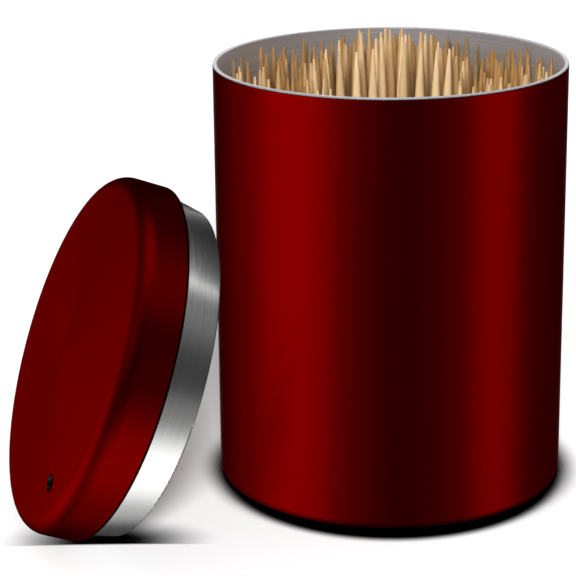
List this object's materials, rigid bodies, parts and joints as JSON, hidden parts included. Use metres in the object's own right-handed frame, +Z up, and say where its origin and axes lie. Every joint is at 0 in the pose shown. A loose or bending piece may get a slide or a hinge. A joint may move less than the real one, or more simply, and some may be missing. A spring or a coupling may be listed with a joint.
{
  "type": "toothpick dispenser",
  "caption": "Round red canister with a brushed steel liner, filled with standing toothpicks, and its plug lid with a dispensing hole, taken off and standing beside it.",
  "frame": {"origin": "centre of the flat face that the canister stands on", "axes": "+Z up along the canister's axis; the lid stands on the -X side, its top turned 17 degrees towards -Y"},
  "size_m": [0.088, 0.0773, 0.0717],
  "materials": {
    "red_lacquer": "satin metallic lacquer",
    "brushed_steel": "brushed round the axis",
    "bamboo": "smooth, bare"
  },
  "bodies": {
    "canister": {"outer_shell": "red_lacquer", "inner_liner": "brushed_steel"},
    "lid": {"lid_cap": "red_lacquer", "lid_collar": "brushed_steel"},
    "toothpick_bundle": {"toothpicks_ring_1": "bamboo", "toothpicks_ring_2": "bamboo", "toothpicks_ring_3_back": "bamboo", "toothpicks_ring_3_left": "bamboo", "toothpicks_ring_3_right": "bamboo", "toothpicks_ring_4_back": "bamboo", "toothpicks_ring_4_front": "bamboo", "toothpicks_ring_4_left": "bamboo", "toothpicks_ring_4_right": "bamboo", "toothpicks_ring_5_back": "bamboo", "toothpicks_ring_5_front": "bamboo", "toothpicks_ring_5_left": "bamboo", "toothpicks_ring_5_right": "bamboo", "toothpicks_ring_6_back": "bamboo", "toothpicks_ring_6_front": "bamboo", "toothpicks_ring_6_left": "bamboo", "toothpicks_ring_6_right": "bamboo"},
    "toothpick_1_body": {"toothpick_1": "bamboo"},
    "toothpick_2_body": {"toothpick_2": "bamboo"},
    "toothpick_3_body": {"toothpick_3": "bamboo"},
    "toothpick_4_body": {"toothpick_4": "bamboo"},
    "toothpick_5_body": {"toothpick_5": "bamboo"}
  },
  "joints": [
    {"name": "lid_lift", "type": "slide", "parent": "canister", "child": "lid", "axis": [0, 0, 1], "range_m": [0, 0.09]},
    {"name": "bundle_lift", "type": "slide", "parent": "canister", "child": "toothpick_bundle", "axis": [0, 0, 1], "range_m": [0, 0.07]},
    {"name": "toothpick_1_draw", "type": "slide", "parent": "toothpick_bundle", "child": "toothpick_1_body", "axis": [0, 0, 1], "range_m": [0, 0.068]},
    {"name": "toothpick_2_draw", "type": "slide", "parent": "toothpick_bundle", "child": "toothpick_2_body", "axis": [0, 0, 1], "range_m": [0, 0.068]},
    {"name": "toothpick_3_draw", "type": "slide", "parent": "toothpick_bundle", "child": "toothpick_3_body", "axis": [0, 0, 1], "range_m": [0, 0.068]},
    {"name": "toothpick_4_draw", "type": "slide", "parent": "toothpick_bundle", "child": "toothpick_4_body", "axis": [0, 0, 1], "range_m": [0, 0.068]},
    {"name": "toothpick_5_draw", "type": "slide", "parent": "toothpick_bundle", "child": "toothpick_5_body", "axis": [0, 0, 1], "range_m": [0, 0.068]}
  ]
}
